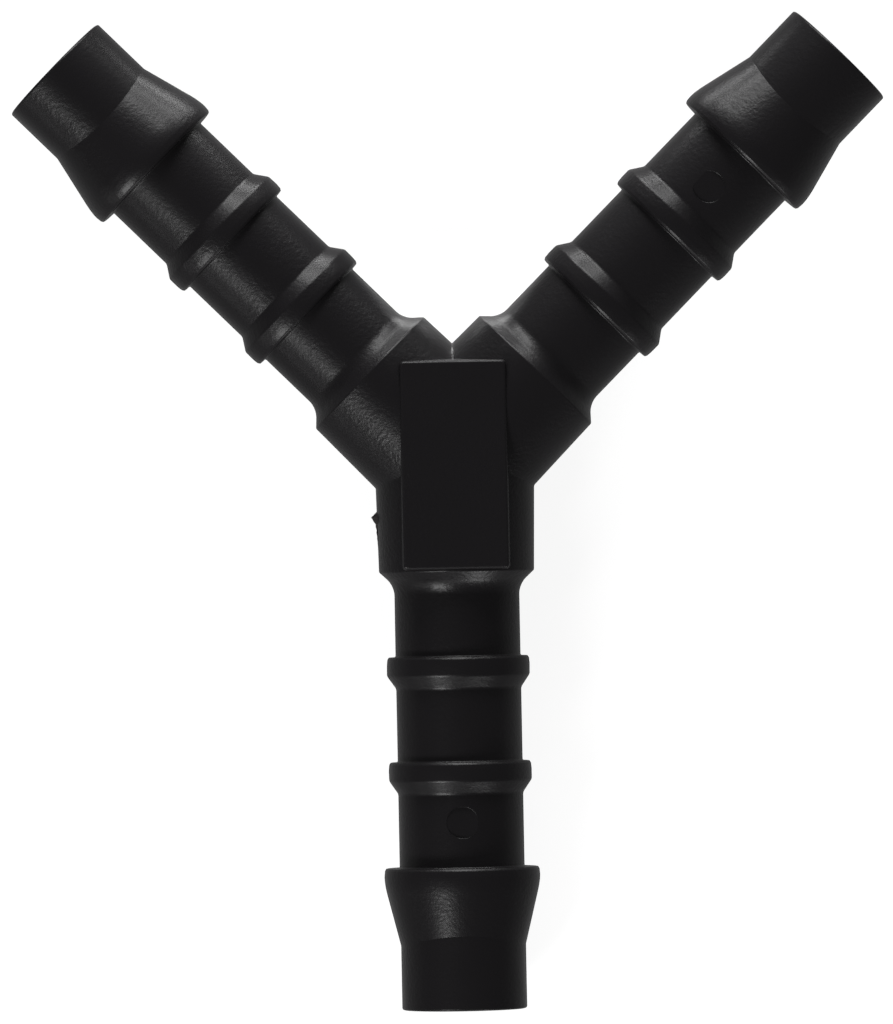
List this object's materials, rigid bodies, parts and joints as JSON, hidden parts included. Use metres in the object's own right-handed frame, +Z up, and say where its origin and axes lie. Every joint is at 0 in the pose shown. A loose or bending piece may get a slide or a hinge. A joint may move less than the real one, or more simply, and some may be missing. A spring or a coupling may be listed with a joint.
{
  "type": "tubing y connector",
  "caption": "One-piece moulded plastic Y fitting that joins soft hoses, with ringed and barbed legs, a thick hub and a flat pad on it.",
  "frame": {"origin": "on the face of the back pad, straight under the point where the axes of the legs meet", "axes": "+Z up through the front pad, the stem runs to -Y, the branches spread towards +Y at 45 degrees each side"},
  "size_m": [0.0562, 0.0639, 0.0104],
  "materials": {
    "black_plastic": "satin moulded black plastic"
  },
  "bodies": {
    "root": {"y_connector": "black_plastic"}
  },
  "joints": []
}
